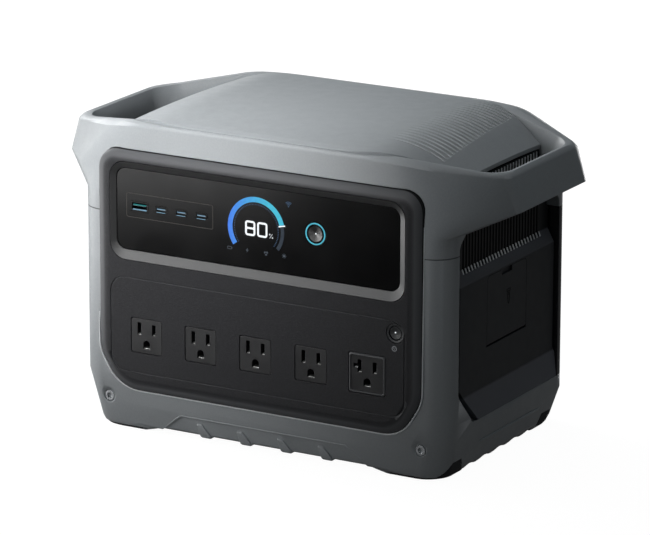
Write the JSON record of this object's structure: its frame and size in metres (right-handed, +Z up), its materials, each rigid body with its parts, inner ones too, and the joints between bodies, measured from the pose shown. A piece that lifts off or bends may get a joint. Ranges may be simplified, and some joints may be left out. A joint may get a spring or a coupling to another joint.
{
  "type": "portable power station",
  "caption": "Box-shaped portable power station with a side handle at each end, a black glass display, a row of mains outlets, louvred sides and a hinged port flap.",
  "frame": {"origin": "on the ground plane under the middle of the bounding box", "axes": "+X to the right seen from the front, -Y towards the front with the display, +Z up"},
  "size_m": [0.384, 0.208, 0.246],
  "materials": {
    "frame_grey": "fine grained moulded plastic",
    "panel_dark": "fine textured dark moulding",
    "side_black": "matt black moulding",
    "gloss_black": "polished black",
    "outlet_black": "satin black",
    "light_ring": "translucent light ring",
    "button_metal": "spun and brushed",
    "button_black": "satin black",
    "port_steel": "plated sheet",
    "screw_steel": "zinc plated",
    "rubber": "matt rubber",
    "cell_wrap": "film wrap",
    "tray_plastic": "moulded",
    "board_green": "solder mask",
    "sink_metal": "extruded",
    "coil_core": "varnished"
  },
  "bodies": {
    "housing": {"upper_frame": "frame_grey", "lower_frame": "frame_grey", "top_cover": "frame_grey", "foot_front_left": "rubber", "foot_front_right": "rubber", "foot_rear_left": "rubber", "foot_rear_right": "rubber", "frame_screw_front_left": "screw_steel", "frame_screw_front_right": "screw_steel", "frame_screw_rear_left": "screw_steel", "frame_screw_rear_right": "screw_steel", "front_panel": "panel_dark", "rear_panel": "panel_dark", "left_side_panel": "side_black", "right_side_panel": "side_black", "rear_shell": "side_black", "flap_hinge_pin": "screw_steel", "car_socket": "outlet_black", "ac_inlet": "outlet_black", "solar_inlet": "outlet_black", "outlet_1": "outlet_black", "outlet_2": "outlet_black", "outlet_3": "outlet_black", "outlet_4": "outlet_black", "outlet_5": "outlet_black", "display_bezel": "gloss_black", "display_glass": "gloss_black", "gauge_display": "gloss_black", "usb_a_port": "port_steel", "usb_c_port_1": "port_steel", "usb_c_port_2": "port_steel", "usb_c_port_3": "port_steel", "power_ring": "light_ring", "ac_button_bezel": "button_black", "display_board": "board_green", "outlet_board": "board_green", "bms_board": "board_green", "inverter_board": "board_green", "battery_tray": "tray_plastic", "battery_lid": "tray_plastic", "inverter_tray": "tray_plastic", "battery_cell_1": "cell_wrap", "battery_cell_2": "cell_wrap", "battery_cell_3": "cell_wrap", "battery_cell_4": "cell_wrap", "battery_cell_5": "cell_wrap", "battery_cell_6": "cell_wrap", "battery_cell_7": "cell_wrap", "battery_cell_8": "cell_wrap", "heat_sink": "sink_metal", "transformer": "coil_core", "fan_frame_left": "outlet_black", "fan_frame_right": "outlet_black"},
    "power_button": {"power_button": "button_metal"},
    "ac_button": {"ac_button": "button_black"},
    "reset_button": {"reset_button": "button_black"},
    "port_flap": {"port_flap": "side_black"},
    "fan_rotor_left": {"fan_rotor_left": "outlet_black"},
    "fan_rotor_right": {"fan_rotor_right": "outlet_black"}
  },
  "joints": [
    {"name": "power_press", "type": "slide", "parent": "housing", "child": "power_button", "axis": [0, 1, 0], "range_m": [0, 0.0012], "stiffness_N_per_m": 400},
    {"name": "ac_press", "type": "slide", "parent": "housing", "child": "ac_button", "axis": [0, 1, 0], "range_m": [0, 0.0012], "stiffness_N_per_m": 400},
    {"name": "reset_press", "type": "slide", "parent": "housing", "child": "reset_button", "axis": [0, -1, 0], "range_m": [0, 0.0012], "stiffness_N_per_m": 400},
    {"name": "flap_hinge", "type": "hinge", "parent": "housing", "child": "port_flap", "pos_m": [0.1528, 0, 0.0922], "axis": [0, 1, 0], "range_deg": [0, 95]},
    {"name": "fan_spin_left", "type": "hinge", "parent": "housing", "child": "fan_rotor_left", "pos_m": [-0.1352, 0, 0.18749], "axis": [1, 0, 0], "continuous": true},
    {"name": "fan_spin_right", "type": "hinge", "parent": "housing", "child": "fan_rotor_right", "pos_m": [0.1352, 0, 0.18749], "axis": [1, 0, 0], "continuous": true}
  ]
}
